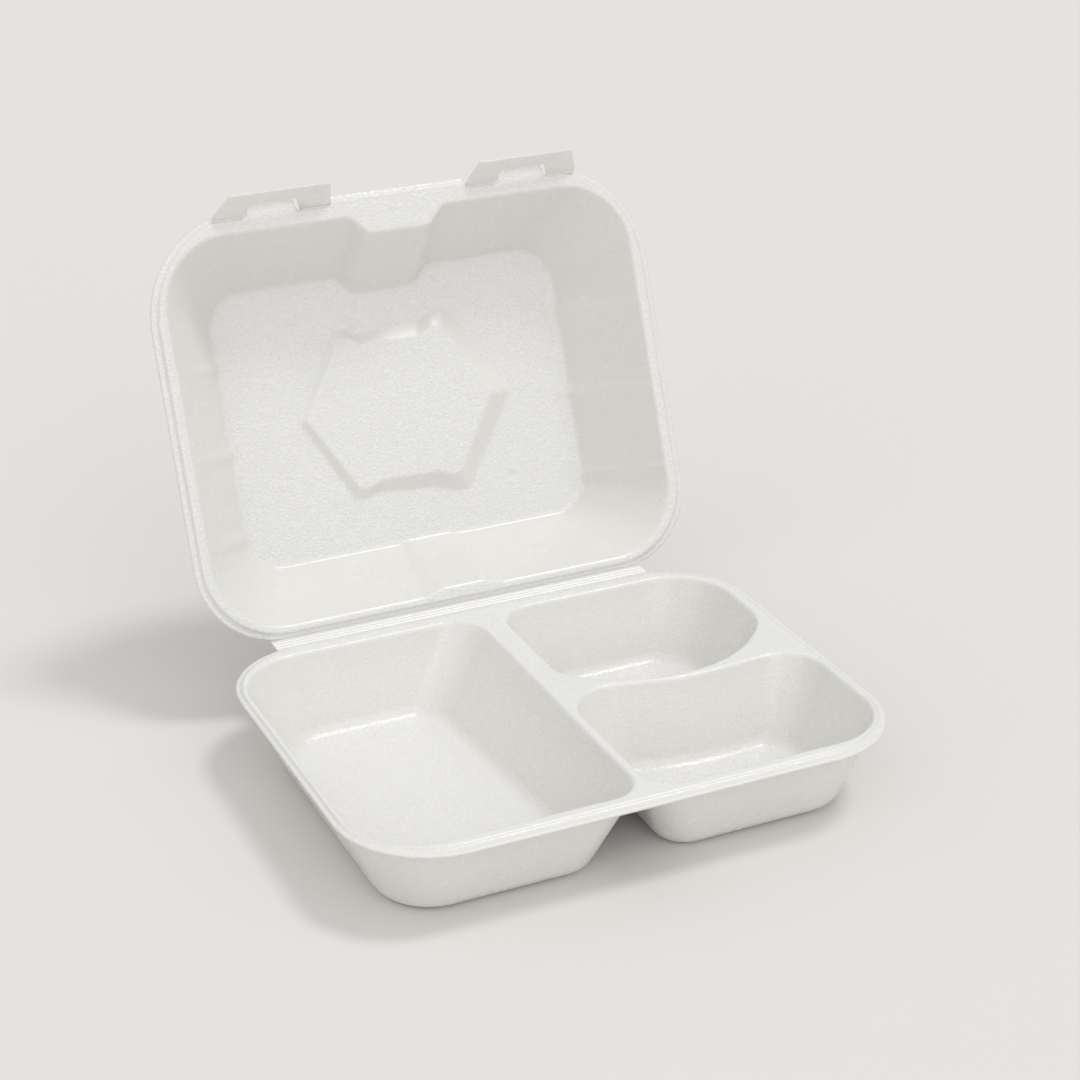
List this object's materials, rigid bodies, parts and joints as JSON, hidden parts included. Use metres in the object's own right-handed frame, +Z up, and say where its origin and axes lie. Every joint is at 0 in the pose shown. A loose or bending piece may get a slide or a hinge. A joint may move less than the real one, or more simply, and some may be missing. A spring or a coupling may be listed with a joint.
{
  "type": "hinged foam food container",
  "caption": "Hinged moulded-foam food container with a compartmented tray, a domed lid standing open and folding lock tabs.",
  "frame": {"origin": "on the surface the container stands on, under the centre of the tray's rim", "axes": "+X along the hinge to the right, +Y back towards the hinge, +Z up"},
  "size_m": [0.23, 0.2729, 0.2114],
  "materials": {
    "foam": "white moulded foam sheet with a fine pebbled skin"
  },
  "bodies": {
    "tray": {"tray": "foam"},
    "lid": {"lid": "foam"},
    "tab_left": {"lock_tab_left": "foam"},
    "tab_right": {"lock_tab_right": "foam"}
  },
  "joints": [
    {"name": "lid_hinge", "type": "hinge", "parent": "tray", "child": "lid", "pos_m": [0, 0.09096, 0.03283], "axis": [1, 0, 0], "range_deg": [-53, 111.3]},
    {"name": "left_tab_fold", "type": "hinge", "parent": "lid", "child": "tab_left", "pos_m": [-0.055, 0.16092, 0.19999], "axis": [1, 0, 0], "range_deg": [-45, 45]},
    {"name": "right_tab_fold", "type": "hinge", "parent": "lid", "child": "tab_right", "pos_m": [0.0592, 0.16092, 0.19999], "axis": [1, 0, 0], "range_deg": [-45, 45]}
  ]
}
